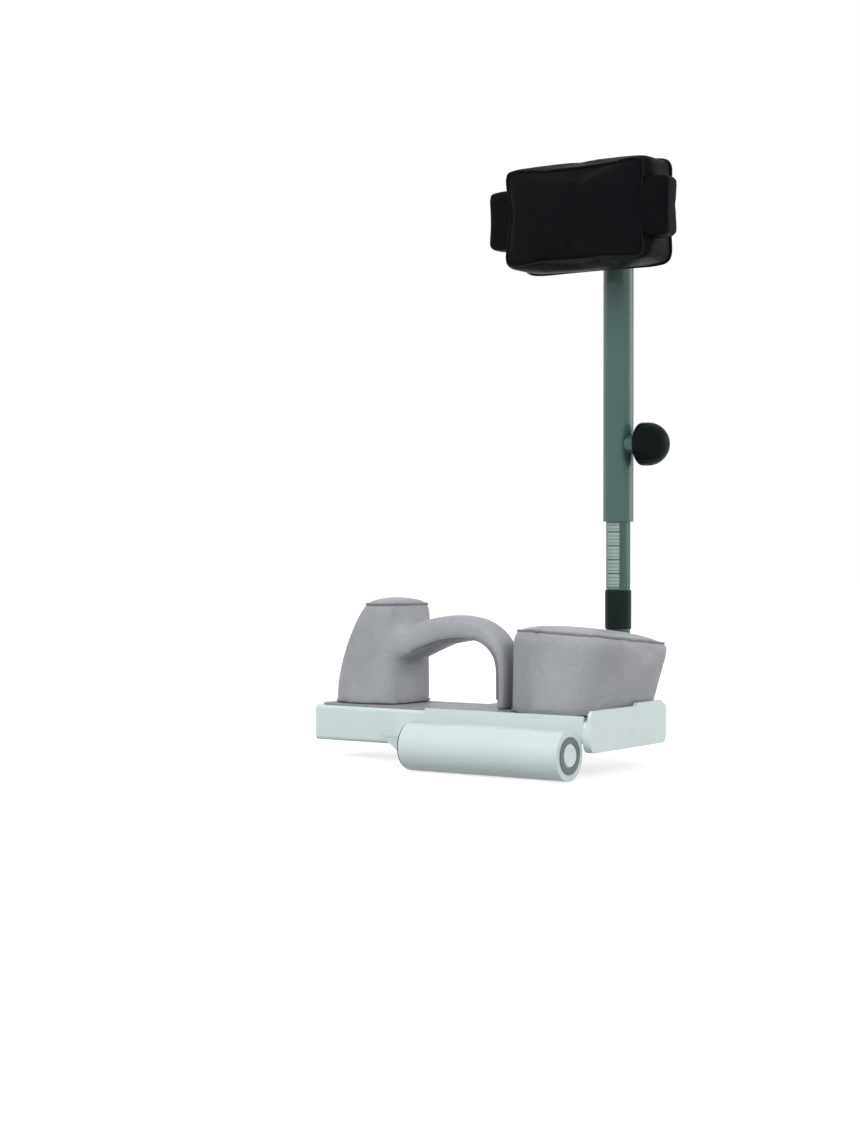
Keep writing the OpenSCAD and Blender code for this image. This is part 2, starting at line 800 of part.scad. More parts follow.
module plate_screws() color("#b9bfc2") at_plate_screws() {
    bar_y(plate_back, plate_back + 2.4, 4);
    bar_y(foam_back + 1, plate_back + 1, 2);
}

module pad_board() color("#3a3128") difference() {
    translate([post_x, board_back, pivot_z]) rotate([90, 0, 0]) linear_extrude(pad_board_t)
        rounded_rect(pad_l - 24, pad_h - 24, 14);
    at_plate_screws() bar_y(foam_back - 1, board_back + 1, 2.05);
}

// Bar for the firm core, or for the slot that takes it
module core_bar(l, gap) {
    along_x(-l / 2, l) translate([0, core_depth]) rounded_rect(core_h + 2 * gap, core_d + 2 * gap, 12);
}

function pad_form(inset = 0, foot = 0, n = fine) = stuffed(
    -pad_l / 2, pad_l / 2, pad_h / 2, 0, pad_d - crown, inset = inset, foot = foot, n = n
);

// Stands a pad form, drawn face up, on the back board so that it faces the front
module facing_front() {
    translate([post_x, board_back, pivot_z]) rotate([90, 0, 0]) children();
}

module pad_core() color("#14161a") facing_front() core_bar(core_l, 0);

module pad_foam() color("#3d4043") facing_front() difference() {
    solid(pad_form(inset = cover_t + foam_gap, n = coarse));
    translate([0, 0, pad_board_t + foam_gap - pad_d]) cube([2 * pad_l, 2 * pad_h, 2 * pad_d], center = true);
    core_bar(2 * core_l, foam_gap);
}

module pad_cover() color("#14161a") facing_front() difference() {
    solid(pad_form());
    solid(pad_form(inset = cover_t, foot = open_foot, n = coarse));
    core_bar(2 * core_l, foam_gap);
}

end_plate();
rail_beam();
tray_pan();
tray_spine();
tray_end_cap();
support_tube();
tube_saddles();
tube_gusset();
tube_collar();
collar_bush();
end_plug();
inlet_bush();
deck_panel();
bolster_base();
bolster_foam();
bolster_cover();
arch_hoop();
arch_roll();
lobe_base();
lobe_foam();
lobe_cover();
tee_nuts();
cushion_bolts();
post_bracket();
bracket_bolts();
pinch_screw();
inner_post();
scale_strip();
stop_sleeve();
lower_glide_bush();
upper_glide_bush();
outer_tube();
tube_cap();
knob_boss();
pivot_clevis();
lock_shoe();
knob_stud();
knob_grip();
hinge_plate();
pivot_pin();
pivot_nut();
friction_washers();
plate_screws();
pad_board();
pad_core();
pad_foam();
pad_cover();
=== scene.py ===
"""Dresses the head-end cushion unit: sewn cushions, coated steel, moulded plastic, light and camera."""
import json
import math

import bpy
import numpy as np
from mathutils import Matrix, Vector
from mathutils.bvhtree import BVHTree


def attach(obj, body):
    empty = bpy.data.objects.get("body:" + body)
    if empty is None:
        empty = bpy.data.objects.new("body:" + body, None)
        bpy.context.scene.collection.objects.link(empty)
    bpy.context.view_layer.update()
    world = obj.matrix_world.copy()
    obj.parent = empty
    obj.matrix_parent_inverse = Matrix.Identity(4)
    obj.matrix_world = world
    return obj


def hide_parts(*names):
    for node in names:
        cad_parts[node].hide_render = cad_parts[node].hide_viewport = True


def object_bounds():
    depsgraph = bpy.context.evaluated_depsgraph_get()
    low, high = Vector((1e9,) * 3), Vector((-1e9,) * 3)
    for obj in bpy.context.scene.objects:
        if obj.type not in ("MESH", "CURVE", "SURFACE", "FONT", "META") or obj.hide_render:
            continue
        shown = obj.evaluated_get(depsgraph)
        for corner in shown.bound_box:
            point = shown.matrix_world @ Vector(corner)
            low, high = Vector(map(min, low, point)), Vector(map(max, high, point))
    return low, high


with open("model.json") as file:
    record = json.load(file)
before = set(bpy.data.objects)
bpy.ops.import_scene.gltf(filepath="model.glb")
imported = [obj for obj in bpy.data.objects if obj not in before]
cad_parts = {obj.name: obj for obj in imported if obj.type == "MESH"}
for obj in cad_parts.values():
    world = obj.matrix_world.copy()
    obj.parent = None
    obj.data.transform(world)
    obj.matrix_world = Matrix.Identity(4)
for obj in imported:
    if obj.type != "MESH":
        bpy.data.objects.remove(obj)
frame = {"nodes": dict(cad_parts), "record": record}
cad_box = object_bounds()
nodes = frame["nodes"]
scene = bpy.context.scene

MM = 0.001

# Soft forms, in millimetres, as the solids have them, but with the pad's back let in to show its board
SEAT_Z = 29.0
FRONT_ROUND = 3
BOLSTER = dict(x0=11.0, x1=136.0, half_w=55.0, z0=SEAT_Z, z1=SEAT_Z + 153.0, back=60.0, front=FRONT_ROUND)
LOBE = dict(x0=314.0, x1=489.0, half_w=100.0, z0=SEAT_Z, z1=SEAT_Z + 127.0,
            over=32.0, fall=8.0, tilt=18.0, nose=0.9, front=FRONT_ROUND)
PAD = dict(x0=-123.0, x1=123.0, half_w=76.0, z0=1.5, z1=78.0)
CORE = dict(x0=-151.0, x1=151.0, half_w=46.0, z0=38.0, z1=74.0, crown=0.0)
PINCH = 0.03
CROWN = 6.0
PLAN_POWER = 12
FOOT_POWER = 60
TOP_POWER = 9
SLACK = 2.5

# Head pad's place: middle of its back, with its face to the front
PAD_X = 406.0
PAD_BACK = 76.0
PAD_Z = 726.0

# Arch over the face window
ARCH_X = 136.3
ARCH_RAMP = 95.0
ARCH_REACH = 70.0
ROOT_Z = SEAT_Z + 88.0
CREST_Z = SEAT_Z + 111.0
SHOULDER_Z = CREST_Z - 56.0
SHOULDER_POWER = 2.2
ARCH_ROOT_HALF = (27.0, 44.0)
ARCH_LEG_HALF = (10.0, 26.0)
ARCH_FLARE = (1.6, 3.0)
BAND_POWER = 3.5
ARCH_TUCK = 26.0
ARCH_FULL = 5.0

# Cloth: grain of the skins, the stuffing's pressure, and what is glued to the panel and to the pad's board
VOXEL = 5.0 * MM
PRESSURE = 4.0
SIM_FRAMES = 20
HELD_FOOT = 6.0
HELD_BACK = 8.0

# Padding where the bolster and the arch are sewn into one skin
CREASE_REACH = 80.0 * MM
CREASE_ROUNDS = 60


def linear(red, green, blue):
    """Colour for a shader from screen values of 0 to 255."""
    def channel(v):
        v /= 255.0
        return v / 12.92 if v <= 0.04045 else ((v + 0.055) / 1.055) ** 2.4
    return (channel(red), channel(green), channel(blue), 1.0)


def shade(colour, factor):
    return tuple(min(1.0, c * factor) for c in colour[:3]) + (1.0,)


# Material helpers
def add(tree, kind, values=None, **settings):
    made = tree.nodes.new(kind)
    for name, value in settings.items():
        setattr(made, name, value)
    for name, value in (values or {}).items():
        made.inputs[name].default_value = value
    return made


def base_material(name, rough, metal=0.0, coat=0.0, shine=0.5):
    material = bpy.data.materials.new(name)
    material.use_nodes = True
    tree = material.node_tree
    shader = tree.nodes["Principled BSDF"]
    shader.inputs["Roughness"].default_value = rough
    shader.inputs["Metallic"].default_value = metal
    shader.inputs["Coat Weight"].default_value = coat
    shader.inputs["Specular IOR Level"].default_value = shine
    coords = add(tree, "ShaderNodeTexCoord").outputs["Object"]
    return material, tree, shader, coords


def noise(tree, coords, scale, detail=3.0, rough=0.5):
    made = add(tree, "ShaderNodeTexNoise", {"Scale": scale, "Detail": detail, "Roughness": rough})
    tree.links.new(coords, made.inputs["Vector"])
    return made.outputs["Fac"]


def stretched(tree, coords, scale):
    made = add(tree, "ShaderNodeMapping", {"Scale": scale})
    tree.links.new(coords, made.inputs["Vector"])
    return made.outputs["Vector"]


def blend_colours(tree, factor, stops):
    ramp = add(tree, "ShaderNodeValToRGB")
    while len(ramp.color_ramp.elements) < len(stops):
        ramp.color_ramp.elements.new(0.5)
    for element, (place, colour) in zip(ramp.color_ramp.elements, stops):
        element.position = place
        element.color = colour
    tree.links.new(factor, ramp.inputs["Fac"])
    return ramp.outputs["Color"]


def mix_colours(tree, factor, first, second):
    made = add(tree, "ShaderNodeMix", data_type="RGBA", blend_type="MULTIPLY")
    made.inputs[0].default_value = factor
    tree.links.new(first, made.inputs[6])
    tree.links.new(second, made.inputs[7])
    return made.outputs[2]


def map_range(tree, value, low, high):
    made = add(tree, "ShaderNodeMapRange", {"To Min": low, "To Max": high})
    tree.links.new(value, made.inputs["Value"])
    return made.outputs["Result"]


def bump(tree, height, strength, distance, under=None):
    made = add(tree, "ShaderNodeBump", {"Strength": strength, "Distance": distance})
    tree.links.new(height, made.inputs["Height"])
    if under is not None:
        tree.links.new(under, made.inputs["Normal"])
    return made.outputs["Normal"]


# Materials
def coated_metal(name, colour, rough=0.38, metal=0.0, coat=0.15):
    """Powder coat: faint orange peel, uneven gloss and slight soiling."""
    material, tree, shader, coords = base_material(name, rough, metal, coat)
    cloud = noise(tree, coords, 16.0, 4.0)
    tint = blend_colours(tree, cloud, [(0.3, shade(colour, 0.97)), (0.7, shade(colour, 1.02))])
    tree.links.new(tint, shader.inputs["Base Color"])
    patch = noise(tree, coords, 45.0, 5.0)
    tree.links.new(map_range(tree, patch, rough - 0.05, rough + 0.05), shader.inputs["Roughness"])
    peel = noise(tree, coords, 750.0, 2.0)
    tree.links.new(bump(tree, peel, 0.12, 0.0004), shader.inputs["Normal"])
    return material


def moulded(name, colour, rough=0.5, shine=0.4):
    """Moulded plastic with a fine spark-eroded texture."""
    material, tree, shader, coords = base_material(name, rough, shine=shine)
    cloud = noise(tree, coords, 30.0, 4.0)
    tint = blend_colours(tree, cloud, [(0.3, shade(colour, 0.97)), (0.7, shade(colour, 1.03))])
    tree.links.new(tint, shader.inputs["Base Color"])
    patch = noise(tree, coords, 80.0, 4.0)
    tree.links.new(map_range(tree, patch, rough - 0.08, rough + 0.08), shader.inputs["Roughness"])
    grit = noise(tree, coords, 1800.0, 2.0)
    tree.links.new(bump(tree, grit, 0.25, 0.0003), shader.inputs["Normal"])
    return material


def vinyl(name, colour, rough=0.5, grain=620.0, shine=0.35):
    """Upholstery vinyl: pebbled leather grain with painted shade darkening its creases, and soft handling
    marks.
    """
    material, tree, shader, coords = base_material(name, rough, shine=shine)
    wobble = noise(tree, coords, 300.0, 2.0)
    warp = add(tree, "ShaderNodeMix", data_type="VECTOR")
    warp.inputs[0].default_value = 0.0012
    tree.links.new(coords, warp.inputs[4])
    tree.links.new(wobble, warp.inputs[5])
    cells = add(tree, "ShaderNodeTexVoronoi", {"Scale": grain}, feature="SMOOTH_F1")
    tree.links.new(warp.outputs[1], cells.inputs["Vector"])
    cloud = noise(tree, coords, 14.0, 5.0, 0.6)
    marks = [(0.28, shade(colour, 0.88)), (0.5, colour), (0.74, shade(colour, 1.07))]
    tint = blend_colours(tree, cloud, marks)
    # Painted shade: the colour darkens in the grain's creases, where the pebble bump sinks.
    crease_shade_stops = [(0.35, (1, 1, 1, 1)), (0.95, (0.72, 0.72, 0.74, 1))]
    crease_shade = blend_colours(tree, cells.outputs["Distance"], crease_shade_stops)
    tree.links.new(mix_colours(tree, 0.8, tint, crease_shade), shader.inputs["Base Color"])
    rubbed = noise(tree, coords, 38.0, 4.0)
    tree.links.new(map_range(tree, rubbed, rough - 0.1, rough + 0.1), shader.inputs["Roughness"])
    wave = noise(tree, coords, 55.0, 3.0)
    soft = bump(tree, wave, 0.25, 0.003)
    pebble = blend_colours(tree, cells.outputs["Distance"], [(0.0, (1, 1, 1, 1)), (1.0, (0, 0, 0, 1))])
    tree.links.new(bump(tree, pebble, 0.35, 0.0005, soft), shader.inputs["Normal"])
    return material


def brushed(name, colour, rough=0.34, along=(60.0, 60.0, 3.0), metal=1.0):
    """Drawn or turned metal with fine lines."""
    material, tree, shader, coords = base_material(name, rough, metal)
    lines = noise(tree, stretched(tree, coords, along), 22.0, 4.0)
    tint = blend_colours(tree, lines, [(0.3, shade(colour, 0.82)), (0.7, shade(colour, 1.08))])
    tree.links.new(tint, shader.inputs["Base Color"])
    tree.links.new(map_range(tree, lines, rough - 0.08, rough + 0.1), shader.inputs["Roughness"])
    tree.links.new(bump(tree, lines, 0.08, 0.0002), shader.inputs["Normal"])
    return material


def layered_wood(name, colour):
    """Plywood: veneers show on its edges, grain on its faces."""
    material, tree, shader, coords = base_material(name, 0.65)
    veneers = add(tree, "ShaderNodeTexWave", {"Scale": 210.0, "Distortion": 1.2}, bands_direction="Z")
    tree.links.new(coords, veneers.inputs["Vector"])
    grain = noise(tree, stretched(tree, coords, (12.0, 90.0, 90.0)), 4.0, 6.0)
    plies = [(0.3, shade(colour, 0.8)), (0.7, shade(colour, 1.1))]
    layers = blend_colours(tree, veneers.outputs["Fac"], plies)
    fibres = blend_colours(tree, grain, [(0.3, (0.72, 0.68, 0.62, 1)), (0.7, (1, 1, 1, 1))])
    tree.links.new(mix_colours(tree, 0.8, layers, fibres), shader.inputs["Base Color"])
    tree.links.new(bump(tree, grain, 0.3, 0.0005), shader.inputs["Normal"])
    return material


def open_foam(name, colour):
    material, tree, shader, coords = base_material(name, 0.9)
    cells = add(tree, "ShaderNodeTexVoronoi", {"Scale": 900.0})
    tree.links.new(coords, cells.inputs["Vector"])
    # Painted shade: the colour darkens in the foam's pores, where the bump sinks.
    pore_shade = blend_colours(tree, cells.outputs["Distance"], [(0.2, shade(colour, 0.75)), (0.7, colour)])
    tree.links.new(pore_shade, shader.inputs["Base Color"])
    tree.links.new(bump(tree, cells.outputs["Distance"], 0.5, 0.0006), shader.inputs["Normal"])
    return material


def ruled_scale(name, colour, ink):
    """Printed height scale: a fine line every 5 mm and a heavy one every 20 mm, worn a little."""
    material, tree, shader, coords = base_material(name, 0.4)
    height = add(tree, "ShaderNodeSeparateXYZ")
    tree.links.new(coords, height.inputs["Vector"])

    def lines(pitch, width):
        turns = add(tree, "ShaderNodeMath", operation="MULTIPLY")
        turns.inputs[1].default_value = 1.0 / pitch
        tree.links.new(height.outputs["Z"], turns.inputs[0])
        share = add(tree, "ShaderNodeMath", operation="FRACT")
        tree.links.new(turns.outputs[0], share.inputs[0])
        inside = add(tree, "ShaderNodeMath", operation="LESS_THAN")
        inside.inputs[1].default_value = width / pitch
        tree.links.new(share.outputs[0], inside.inputs[0])
        return inside.outputs[0]

    either = add(tree, "ShaderNodeMath", operation="MAXIMUM")
    tree.links.new(lines(0.005, 0.0008), either.inputs[0])
    tree.links.new(lines(0.020, 0.0022), either.inputs[1])
    wear = noise(tree, coords, 120.0, 4.0)
    printed = add(tree, "ShaderNodeMath", operation="MULTIPLY")
    tree.links.new(either.outputs[0], printed.inputs[0])
    tree.links.new(map_range(tree, wear, 0.5, 1.1), printed.inputs[1])
    tint = blend_colours(tree, printed.outputs[0], [(0.0, colour), (0.9, ink)])
    tree.links.new(tint, shader.inputs["Base Color"])
    return material


GREY = linear(161, 163, 168)
BLACK = linear(10, 11, 14)
PALE = linear(204, 217, 218)

finishes = {
    "pale_paint": coated_metal("pale_paint", PALE),
    "pale_plastic": moulded("pale_plastic", linear(214, 227, 226), rough=0.45),
    "black_plastic": moulded("black_plastic", linear(25, 34, 32), rough=0.45, shine=0.1),
    "grey_plastic": moulded("grey_plastic", linear(104, 114, 114)),
    "board_wrap": vinyl("board_wrap", shade(GREY, 0.8)),
    "foam": open_foam("foam", linear(214, 200, 150)),
    "grey_vinyl": vinyl("grey_vinyl", GREY),
    "grey_roll": vinyl("grey_roll", shade(GREY, 0.97)),
    "zinc_steel": brushed("zinc_steel", linear(196, 200, 202)),
    "cast_bracket": coated_metal("cast_bracket", linear(190, 204, 203), rough=0.45),
    "inner_steel": brushed("inner_steel", linear(78, 97, 91), rough=0.4),
    "scale_white": ruled_scale("scale_white", linear(145, 165, 158), ink=linear(62, 76, 72)),
    "post_paint": coated_metal("post_paint", linear(55, 86, 82), rough=0.36, coat=0.3),
    "brass": brushed("brass", linear(204, 168, 92)),
    "knob_black": moulded("knob_black", linear(10, 18, 18), rough=0.45, shine=0.06),
    "dark_steel": brushed("dark_steel", linear(92, 98, 100), rough=0.4),
    "plywood": layered_wood("plywood", linear(190, 150, 98)),
    "black_core": vinyl("black_core", shade(BLACK, 0.9), rough=0.55, shine=0.05),
    "black_vinyl": vinyl("black_vinyl", BLACK, rough=0.5, shine=0.05),
    "grey_welt": vinyl("grey_welt", shade(GREY, 0.62), rough=0.45, grain=900.0),
    "black_welt": vinyl("black_welt", shade(BLACK, 0.8), rough=0.45, grain=900.0, shine=0.1),
    "grey_thread": moulded("grey_thread", shade(GREY, 0.75), rough=0.6),
}


def paint(obj, finish):
    obj.data.materials.clear()
    obj.data.materials.append(finishes[finish])


for part in frame["record"]["subparts"]:
    paint(nodes[part["node"]], part["material_slot"])


# Soft forms
def power_norm(a, b, p):
    return (np.abs(a) ** p + np.abs(b) ** p) ** (1.0 / p)


def plan_walk(count, front):
    """Unit points round a rounded square whose front corners have their own fullness."""
    u = np.linspace(-1.0, 1.0, count, endpoint=False)
    one = np.ones(count)
    sides = [(one, u), (-u, one), (-one, -u), (u, -one)]
    x = np.concatenate([s[0] for s in sides])
    y = np.concatenate([s[1] for s in sides])
    length = power_norm(x, y, np.where(y < 0, front, PLAN_POWER))
    return np.stack([x / length, y / length], 1)


def form_ring(count, share, height, x0, x1, half_w, z0, z1, back=0.0, over=0.0, fall=0.0, tilt=0.0,
              nose=0.0, front=PLAN_POWER, crown=CROWN, inset=0.0):
    """Ring of a stuffed form at one share of its plan and one height from -1 to 1."""
    d = plan_walk(count, front)
    t = (height + 1) / 2
    left = x0 + inset + back * t * t
    right = x1 - inset + over * t
    blunt = np.where(d[:, 0] < 0, 1 - nose * d[:, 1] ** 2, 1.0)
    reach = (right - left) / 2 * blunt * (1 - PINCH * (1 - d[:, 1] ** 2))
    x = (left + right) / 2 + reach * d[:, 0] * share
    y = (half_w - inset) * d[:, 1] * share * (1 - PINCH * (1 - d[:, 0] ** 2))
    swell = crown * max(height, 0.0) * (1 - (share * d[:, 0]) ** 2) * (1 - (share * d[:, 1]) ** 2)
    top = z1 - inset - fall * (x - x0) / (x1 - x0) - tilt * (d[:, 1] * share + 1) / 2
    return np.stack([x, y, z0 + t * (top - z0) + swell], 1)


def ring_at(share, height):
    """Share and height of a ring, drawn onto the form's rounded profile."""
    power = FOOT_POWER if height < 0 else TOP_POWER
    length = power_norm(share, height, power)
    return share / length, height / length


def mesh_object(name, points, faces):
    mesh = bpy.data.meshes.new(name)
    mesh.from_pydata([tuple(p) for p in points], [], faces)
    mesh.validate()
    mesh.update()
    obj = bpy.data.objects.new(name, mesh)
    scene.collection.objects.link(obj)
    return obj


def tube_faces(rings, per):
    walls = [
        (i * per + k, i * per + (k + 1) % per, (i + 1) * per + (k + 1) % per, (i + 1) * per + k)
        for i in range(rings - 1) for k in range(per)
    ]
    last = (rings - 1) * per
    return walls + [tuple(reversed(range(per))), tuple(range(last, last + per))]


def stuffed(name, form, place, count=24):
    """Closed mesh of a stuffed form, drawn in a little for the stuffing to fill."""
    walk = [(r, -1.0) for r in (0.3, 0.6, 0.8)]
    walk += [(1.0, h) for h in np.linspace(-1.0, 1.0, 15)]
    walk += [(r, 1.0) for r in (0.8, 0.6, 0.4, 0.2)]
    rings = [form_ring(count, *ring_at(r, h), inset=SLACK, **form) for r, h in walk]
    return mesh_object(name, place(np.concatenate(rings)), tube_faces(len(rings), len(rings[0])))


def on_carrier(points):
    return points * MM


def on_head(points):
    """Turns a form drawn face up so that it faces the front on the pad's back board."""
    turned = np.stack([PAD_X + points[:, 0], PAD_BACK - points[:, 2], PAD_Z + points[:, 1]], 1)
    return turned * MM


def arch_line(steps=12, leg_steps=4):
    """Centre line of the arch as (along, up): tucked into the bolster, over the crest, down the leg."""
    tuck = [(ARCH_X - ARCH_TUCK, ROOT_Z)]
    ramp = [(ARCH_X + ARCH_RAMP * i / steps,
             ROOT_Z + (CREST_Z - ROOT_Z) * math.sin(math.pi / 2 * i / steps)) for i in range(steps + 1)]
    crest_x = ARCH_X + ARCH_RAMP
    bend = []
    for i in range(1, steps + 1):
        s = math.sin(math.pi / 2 * i / steps)
        c = math.cos(math.pi / 2 * i / steps)
        k = power_norm(s, c, SHOULDER_POWER)
        bend.append((crest_x + ARCH_REACH * s / k, SHOULDER_Z + (CREST_Z - SHOULDER_Z) * c / k))
    leg_x = crest_x + ARCH_REACH
    leg = [(leg_x, SHOULDER_Z + (SEAT_Z - SHOULDER_Z) * i / leg_steps) for i in range(1, leg_steps + 1)]
    return np.array(tuck + ramp + bend + leg)


def arch_frames():
    """Centre, up-normal and half sizes at each step of the arch."""
    line = arch_line()
    ahead = np.gradient(line, axis=0)
    ahead /= np.linalg.norm(ahead, axis=1, keepdims=True)
    ahead[0] = (1.0, 0.0)
    ahead[-1] = (0.0, -1.0)
    up = np.stack([-ahead[:, 1], ahead[:, 0]], 1)
    left = np.linspace(1.0, 0.0, len(line))[:, None] ** np.array(ARCH_FLARE)
    half = np.array(ARCH_ROOT_HALF) * left + np.array(ARCH_LEG_HALF) * (1 - left)
    return line, up, half


def arch_ring(angle, inset=0.0):
    """Line along the arch's skin at one angle round its section, with fuller stuffing on the crest's top."""
    line, up, half = arch_frames()
    c, s = math.cos(angle), math.sin(angle)
    k = power_norm(c, s, BAND_POWER)
    rise = np.clip((line[:, 1] - SHOULDER_Z) / (CREST_Z - SHOULDER_Z), 0.0, 1.0)
    full = ARCH_FULL * rise ** 3 if c > 0 else 0.0
    across = (half[:, 0] + full - inset) * c / k
    deep = (half[:, 1] - inset) * s / k
    flat = line + up * across[:, None]
    return np.stack([flat[:, 0], deep, flat[:, 1]], 1)


def arch_roll(name, sides=20):
    rows = np.stack([arch_ring(2 * math.pi * k / sides, SLACK / 2) for k in range(sides)], 1)
    return mesh_object(name, rows.reshape(-1, 3) * MM, tube_faces(rows.shape[0], sides))


def joined(name, *pieces):
    """One mesh of pieces that run into each other, for the remesh to fuse."""
    points, faces = [], []
    for piece in pieces:
        start = len(points)
        points += [v.co.copy() for v in piece.data.vertices]
        faces += [tuple(start + i for i in p.vertices) for p in piece.data.polygons]
        bpy.data.objects.remove(piece)
    return mesh_object(name, points, faces)


def evaluated_points(obj):
    mesh = obj.evaluated_get(bpy.context.evaluated_depsgraph_get()).to_mesh()
    points = np.empty(len(mesh.vertices) * 3)
    mesh.vertices.foreach_get("co", points)
    return points.reshape(-1, 3)


def remesh(obj):
    """Even skin for the cloth."""
    step = obj.modifiers.new("skin", "REMESH")
    step.mode = "VOXEL"
    step.voxel_size = VOXEL
    skin = bpy.data.meshes.new_from_object(obj.evaluated_get(bpy.context.evaluated_depsgraph_get()))
    obj.modifiers.clear()
    obj.data = skin
    return obj


def vertex_values(mesh, name):
    values = np.empty(len(mesh.vertices) * 3)
    mesh.vertices.foreach_get(name, values)
    return values.reshape(-1, 3)


def fill_crease(obj, place, reach, rounds):
    """Fills the hollow line where two fused rolls meet, as their padding does."""
    mesh = obj.data
    edges = np.array([e.vertices[:] for e in mesh.edges])
    count = np.bincount(edges.ravel(), minlength=len(mesh.vertices))[:, None]
    for _ in range(rounds):
        points = vertex_values(mesh, "co")
        normals = vertex_values(mesh, "normal")
        total = np.zeros_like(points)
        np.add.at(total, edges[:, 0], points[edges[:, 1]])
        np.add.at(total, edges[:, 1], points[edges[:, 0]])
        hollow = np.maximum(0.0, ((total / count - points) * normals).sum(1, keepdims=True))
        near = np.linalg.norm(points - place, axis=1, keepdims=True) < reach
        mesh.vertices.foreach_set("co", (points + normals * hollow * near / 2).ravel())
        mesh.update()


def add_cloth(obj, held):
    """Inflates a skin; held says which points stay on what carries them."""
    points = evaluated_points(obj)
    group = obj.vertex_groups.new(name="held")
    group.add([int(i) for i in np.nonzero(held(points))[0]], 1.0, "REPLACE")
    cloth = obj.modifiers.new("cloth", "CLOTH")
    cloth.point_cache.frame_start = 1
    cloth.point_cache.frame_end = SIM_FRAMES
    cloth.settings.quality = 6
    cloth.settings.mass = 0.3
    cloth.settings.tension_stiffness = 30
    cloth.settings.compression_stiffness = 30
    cloth.settings.shear_stiffness = 15
    cloth.settings.bending_stiffness = 2
    cloth.settings.use_pressure = True
    cloth.settings.uniform_pressure_force = PRESSURE
    cloth.settings.vertex_group_mass = group.name
    cloth.settings.effector_weights.gravity = 0.0
    return points


def stuff_all(jobs):
    """Runs the cloth of all soft pieces together; each job is (piece, held points, most movement)."""
    rest = []
    for obj, held, _ in jobs:
        rest.append(add_cloth(obj, held))
    for step in range(1, SIM_FRAMES + 1):
        scene.frame_set(step)
    moved = [evaluated_points(obj) for obj, _, _ in jobs]
    for (obj, _, cap), before, after in zip(jobs, rest, moved):
        obj.modifiers.clear()
        change = after - before
        length = np.linalg.norm(change, axis=1, keepdims=True)
        kept = before + change * np.minimum(1.0, cap / np.maximum(length, 1e-9))
        obj.data.vertices.foreach_set("co", kept.ravel())
        obj.data.update()
    scene.frame_set(1)
    for obj, _, _ in jobs:
        for face in obj.data.polygons:
            face.use_smooth = True


def low(limit):
    return lambda points: points[:, 2] < limit * MM


def behind(limit):
    return lambda points: points[:, 1] > limit * MM


def everywhere(points):
    return np.ones(len(points), bool)


cradle = remesh(joined("cradle_cushion", stuffed("bolster", BOLSTER, on_carrier), arch_roll("arch")))
fill_crease(cradle, np.array([ARCH_X, 0.0, ROOT_Z]) * MM, CREASE_REACH, CREASE_ROUNDS)
lobe = remesh(stuffed("lobe_cushion", LOBE, on_carrier, count=30))
pad = remesh(stuffed("head_pad", PAD, on_head, count=30))
core = remesh(stuffed("head_core", CORE, on_head, count=16))
stuff_all([
    (cradle, low(SEAT_Z + HELD_FOOT), 4 * MM),
    (lobe, low(SEAT_Z + HELD_FOOT), 6 * MM),
    (pad, behind(PAD_BACK - HELD_BACK), 5 * MM),
    (core, everywhere, 3 * MM),
])


# Sewn trim
def skin_tree(obj):
    mesh = obj.data
    points = [v.co.copy() for v in mesh.vertices]
    return BVHTree.FromPolygons(points, [tuple(p.vertices) for p in mesh.polygons])


def on_skin(obj, points, lift):
    """Moves points onto a stuffed skin, raised a little from it."""
    tree = skin_tree(obj)
    placed = []
    for p in points:
        near, normal, _, _ = tree.find_nearest(Vector(p))
        placed.append((near + normal * lift, normal))
    return placed


def welt(name, path, radius, closed=True):
    """Piping: a round cord sewn along a seam."""
    curve = bpy.data.curves.new(name, "CURVE")
    curve.dimensions = "3D"
    curve.bevel_depth = radius
    curve.bevel_resolution = 3
    curve.use_fill_caps = True
    spline = curve.splines.new("POLY")
    spline.points.add(len(path) - 1)
    for point, (place, _) in zip(spline.points, path):
        point.co = (*place, 1.0)
    spline.use_cyclic_u = closed
    obj = bpy.data.objects.new(name, curve)
    scene.collection.objects.link(obj)
    return obj


def resample(points, pitch, closed=True):
    """Even steps along a line."""
    line = np.vstack([points, points[:1]]) if closed else points
    lengths = np.concatenate([[0.0], np.cumsum(np.linalg.norm(np.diff(line, axis=0), axis=1))])
    steps = max(4, int(lengths[-1] / pitch))
    marks = np.linspace(0.0, lengths[-1], steps, endpoint=not closed)
    return np.stack([np.interp(marks, lengths, line[:, k]) for k in range(3)], 1)


# Thread of one stitch, as (share of its length, share of its radius)
SPINDLE = ((-0.5, 0.35), (-0.25, 1.0), (0.25, 1.0), (0.5, 0.35))
SPINDLE_SIDES = 6


def stitches(name, path, length, radius):
    """Row of short raised threads along a seam, each one a spindle."""
    points, faces = [], []
    for here, ahead in zip(path, path[1:]):
        place, normal = here
        along = (ahead[0] - place).normalized()
        side = normal.cross(along).normalized()
        start = len(points)
        for share, size in SPINDLE:
            for k in range(SPINDLE_SIDES):
                angle = 2 * math.pi * k / SPINDLE_SIDES
                spoke = side * math.cos(angle) + normal * math.sin(angle)
                points.append(place + along * (length * share) + spoke * (radius * size))
        faces += [tuple(start + i for i in face) for face in tube_faces(len(SPINDLE), SPINDLE_SIDES)]
    return mesh_object(name, points, faces)


def seam_ring(form, share, height, place, count=40):
    return place(form_ring(count, *ring_at(share, height), **form))


WELT_R = 1.9 * MM
WELT_LIFT = WELT_R * 0.35
WELT_PITCH = 5.0 * MM
STITCH_PITCH = 6.0 * MM
STITCH_L = 4.2 * MM
STITCH_R = 0.5 * MM
STITCH_LIFT = STITCH_R * 0.3

# Seams, as heights of a form from -1 at its foot to 1 at its top; the top's stitches run inside its welt
TOP_SEAM = 1.0
FOOT_SEAM = -0.97
PAD_BACK_SEAM = -0.8
STITCH_SHARE = 0.93

# Arch seams: angle round its section, on the window's side, and the steps outside the bolster and the panel
ARCH_SEAM = 2.15
ARCH_SEAM_STEPS = slice(3, -1)


